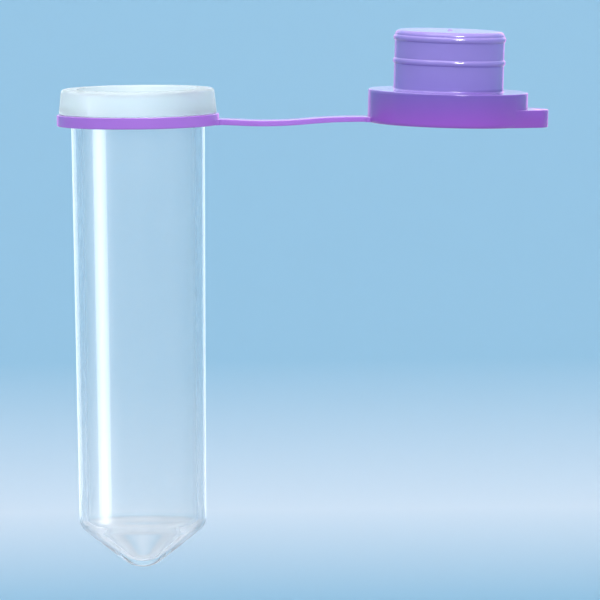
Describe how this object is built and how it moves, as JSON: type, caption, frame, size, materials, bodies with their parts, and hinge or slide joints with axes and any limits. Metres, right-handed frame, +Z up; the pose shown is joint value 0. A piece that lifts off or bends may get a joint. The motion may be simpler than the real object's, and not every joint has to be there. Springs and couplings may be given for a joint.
{
  "type": "microcentrifuge tube",
  "caption": "Clear sample tube with a short conical bottom and a violet plug cap on a strap from a ring round its neck.",
  "frame": {"origin": "on the tube's axis, in the plane of the retaining ring's underside, which rests on the rack when the tube hangs in its hole", "axes": "+Z up the tube's axis and out of its mouth, +X from the tube along the strap to the cap at rest"},
  "size_m": [0.0398, 0.0132, 0.0433],
  "materials": {
    "clear_tube": "clear moulded polypropylene, glossy, very slightly milky",
    "violet_closure": "violet moulded polyethylene, satin, a little translucent where it is thin"
  },
  "bodies": {
    "tube": {"tube_body": "clear_tube"},
    "ring": {"retaining_ring": "violet_closure"},
    "link_1": {"strap_link_1": "violet_closure"},
    "link_2": {"strap_link_2": "violet_closure"},
    "link_3": {"strap_link_3": "violet_closure"},
    "link_4": {"strap_link_4": "violet_closure"},
    "cap": {"closure_cap": "violet_closure"}
  },
  "joints": [
    {"name": "ring_swivel", "type": "hinge", "parent": "tube", "child": "ring", "pos_m": [0, 0, 0], "axis": [0, 0, 1], "continuous": true},
    {"name": "strap_bend_1", "type": "hinge", "parent": "ring", "child": "link_1", "pos_m": [0.00706, 0, 0.00023], "axis": [0, -1, 0], "range_deg": [-40, 8.77], "stiffness_Nm_per_rad": 0.002, "springref_deg": 2.13},
    {"name": "strap_bend_2", "type": "hinge", "parent": "link_1", "child": "link_2", "pos_m": [0.00978, 0, 0.00005], "axis": [0, -1, 0], "range_deg": [-10, 51.97], "stiffness_Nm_per_rad": 0.002, "springref_deg": 1.8},
    {"name": "strap_bend_3", "type": "hinge", "parent": "link_2", "child": "link_3", "pos_m": [0.0125, 0, 0.0001], "axis": [0, -1, 0], "range_deg": [-10, 53.04], "stiffness_Nm_per_rad": 0.002, "springref_deg": 1.48},
    {"name": "strap_bend_4", "type": "hinge", "parent": "link_3", "child": "link_4", "pos_m": [0.01522, 0, 0.00031], "axis": [0, -1, 0], "range_deg": [-10, 60.6], "stiffness_Nm_per_rad": 0.002, "springref_deg": 1.16},
    {"name": "strap_bend_5", "type": "hinge", "parent": "link_4", "child": "cap", "pos_m": [0.01795, 0, 0.00034], "axis": [0, -1, 0], "range_deg": [-10, 7.98], "stiffness_Nm_per_rad": 0.002, "springref_deg": 0.85}
  ]
}
